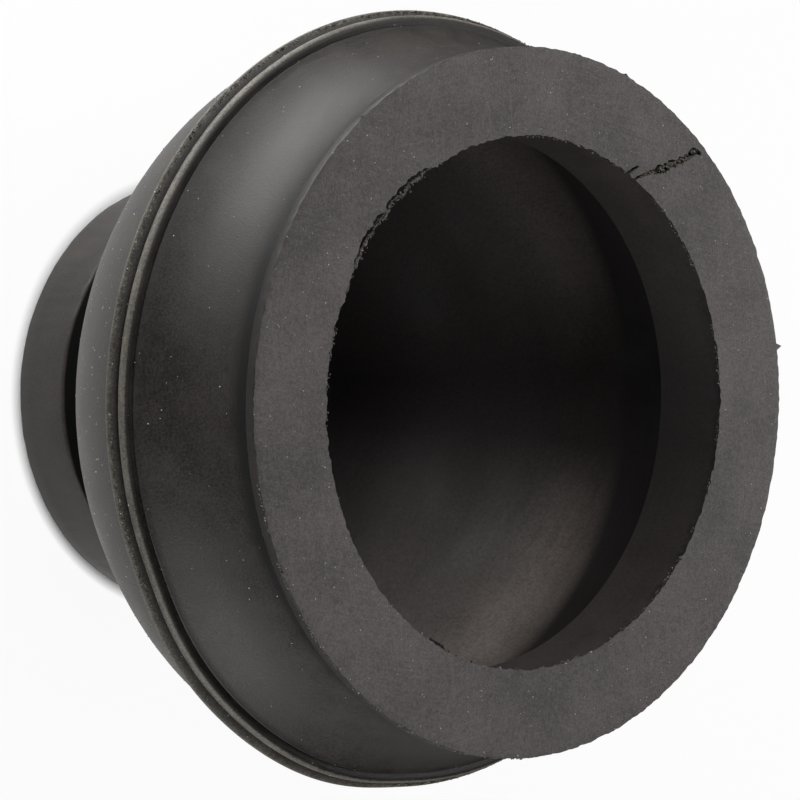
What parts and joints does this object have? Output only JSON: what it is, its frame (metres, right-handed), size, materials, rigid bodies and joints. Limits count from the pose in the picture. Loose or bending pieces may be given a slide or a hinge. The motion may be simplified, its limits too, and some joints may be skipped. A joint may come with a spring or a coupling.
{
  "type": "tie rod end boot",
  "caption": "Round moulded rubber boot that seals a ball joint: a thick open ring, a flared bulge with a parting bead, a necked groove and a small collar.",
  "frame": {"origin": "centre of the small end's face, on the boot's axis, where it stands", "axes": "+Z along the boot's axis, from the small collar to the large open end"},
  "size_m": [0.0384, 0.0384, 0.0265],
  "materials": {
    "black_rubber": "matte moulded black rubber, dusty, with a trimmed end face"
  },
  "bodies": {
    "root": {"boot": "black_rubber"}
  },
  "joints": []
}
